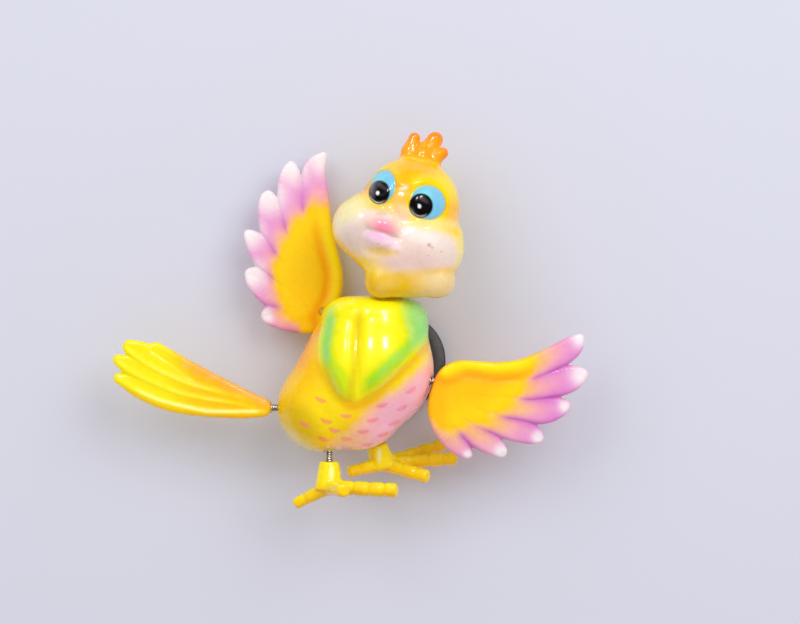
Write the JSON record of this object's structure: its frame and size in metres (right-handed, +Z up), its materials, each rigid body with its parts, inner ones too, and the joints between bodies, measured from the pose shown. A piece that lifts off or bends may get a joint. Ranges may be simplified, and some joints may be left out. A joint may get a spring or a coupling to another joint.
{
  "type": "spring-limbed bird fridge magnet",
  "caption": "Cartoon bird on a disc magnet, with its head, wings, tail and feet each wobbling on a short coil spring.",
  "frame": {"origin": "centre of the magnet's back face, which lies on the steel surface that holds the bird", "axes": "+Y into the steel surface, out of the magnet's back face; -Y out towards the room, where the bird faces; +Z up; +X to the viewer's right"},
  "size_m": [0.0956, 0.0276, 0.0755],
  "materials": {
    "body_paint": "glossy airbrushed paint on cast resin, yellow with green bib and pink belly",
    "head_paint": "glossy airbrushed paint on cast resin, yellow crown and cream cheeks",
    "wing_paint": "glossy airbrushed paint on cast resin, yellow to violet to white tips",
    "tail_paint": "glossy airbrushed paint on cast resin, yellow with orange root",
    "foot_paint": "glossy paint on cast resin, golden yellow",
    "spring_steel": "bright drawn wire",
    "magnet": "dark ground ferrite",
    "glue": "cured epoxy"
  },
  "bodies": {
    "body": {"body": "body_paint", "magnet": "magnet", "magnet_glue": "glue", "body_spring_glue": "glue"},
    "neck_spring": {"neck_spring": "spring_steel"},
    "head": {"head": "head_paint", "head_glue": "glue"},
    "left_wing_spring": {"left_wing_spring": "spring_steel"},
    "left_wing": {"left_wing": "wing_paint", "left_wing_glue": "glue"},
    "right_wing_spring": {"right_wing_spring": "spring_steel"},
    "right_wing": {"right_wing": "wing_paint", "right_wing_glue": "glue"},
    "tail_spring": {"tail_spring": "spring_steel"},
    "tail": {"tail": "tail_paint", "tail_glue": "glue"},
    "left_leg_spring": {"left_leg_spring": "spring_steel"},
    "left_foot": {"left_foot": "foot_paint", "left_foot_glue": "glue"},
    "right_leg_spring": {"right_leg_spring": "spring_steel"},
    "right_foot": {"right_foot": "foot_paint", "right_foot_glue": "glue"}
  },
  "joints": [
    {"name": "head_nod", "type": "hinge", "parent": "body", "child": "neck_spring", "pos_m": [-0.0014, -0.013, 0.0138], "axis": [0.9929, 0, -0.1191], "range_deg": [-14, 2], "stiffness_Nm_per_rad": 0.00296, "springref_deg": -5.66, "deforming": ["neck_spring"]},
    {"name": "head_tilt", "type": "hinge", "parent": "neck_spring", "child": "head", "pos_m": [-0.0014, -0.013, 0.0138], "axis": [0, 1, 0], "range_deg": [-6, 4], "stiffness_Nm_per_rad": 0.00296, "springref_deg": -4.86, "deforming": ["neck_spring"]},
    {"name": "left_wing_lift", "type": "hinge", "parent": "body", "child": "left_wing_spring", "pos_m": [-0.0137, -0.0054, 0.0096], "axis": [0.4267, 0.8934, -0.1406], "range_deg": [-10, 10], "stiffness_Nm_per_rad": 0.00329, "springref_deg": 1.64, "deforming": ["left_wing_spring"]},
    {"name": "left_wing_sweep", "type": "hinge", "parent": "left_wing_spring", "child": "left_wing", "pos_m": [-0.0137, -0.0054, 0.0096], "axis": [-0.3129, 0, -0.9498], "range_deg": [-3, 15], "stiffness_Nm_per_rad": 0.00329, "springref_deg": -0.1, "deforming": ["left_wing_spring"]},
    {"name": "right_wing_lift", "type": "hinge", "parent": "body", "child": "right_wing_spring", "pos_m": [0.0074, -0.0156, -0.0038], "axis": [0, -1, 0], "range_deg": [-8, 22], "stiffness_Nm_per_rad": 0.00395, "springref_deg": 3.17, "deforming": ["right_wing_spring"]},
    {"name": "right_wing_sweep", "type": "hinge", "parent": "right_wing_spring", "child": "right_wing", "pos_m": [0.0074, -0.0156, -0.0038], "axis": [0, 0, -1], "range_deg": [-6, 12], "stiffness_Nm_per_rad": 0.00395, "deforming": ["right_wing_spring"]},
    {"name": "tail_lift", "type": "hinge", "parent": "body", "child": "tail_spring", "pos_m": [-0.0242, -0.013, -0.0092], "axis": [0, 1, 0], "range_deg": [-15, 15], "stiffness_Nm_per_rad": 0.00423, "springref_deg": 2.21, "deforming": ["tail_spring"]},
    {"name": "tail_sweep", "type": "hinge", "parent": "tail_spring", "child": "tail", "pos_m": [-0.0242, -0.013, -0.0092], "axis": [0.02, 0, 0.9998], "range_deg": [-15, 15], "stiffness_Nm_per_rad": 0.00423, "deforming": ["tail_spring"]},
    {"name": "left_leg_swing", "type": "hinge", "parent": "body", "child": "left_leg_spring", "pos_m": [-0.0134, -0.0155, -0.0188], "axis": [0, 1, 0], "range_deg": [-15, 15], "stiffness_Nm_per_rad": 0.00296, "springref_deg": -0.15, "deforming": ["left_leg_spring"]},
    {"name": "left_leg_kick", "type": "hinge", "parent": "left_leg_spring", "child": "left_foot", "pos_m": [-0.0134, -0.0155, -0.0188], "axis": [-1, 0, 0], "range_deg": [-15, 15], "stiffness_Nm_per_rad": 0.00296, "springref_deg": 0.07, "deforming": ["left_leg_spring"]},
    {"name": "right_leg_swing", "type": "hinge", "parent": "body", "child": "right_leg_spring", "pos_m": [-0.0042, -0.0074, -0.0158], "axis": [-0.0459, 0.9836, 0.1743], "range_deg": [-12, 10], "stiffness_Nm_per_rad": 0.00329, "springref_deg": -0.27, "deforming": ["right_leg_spring"]},
    {"name": "right_leg_kick", "type": "hinge", "parent": "right_leg_spring", "child": "right_foot", "pos_m": [-0.0042, -0.0074, -0.0158], "axis": [-0.9682, 0.0466, -0.246], "range_deg": [-12, 8], "stiffness_Nm_per_rad": 0.00329, "springref_deg": -0.05, "deforming": ["right_leg_spring"]}
  ]
}
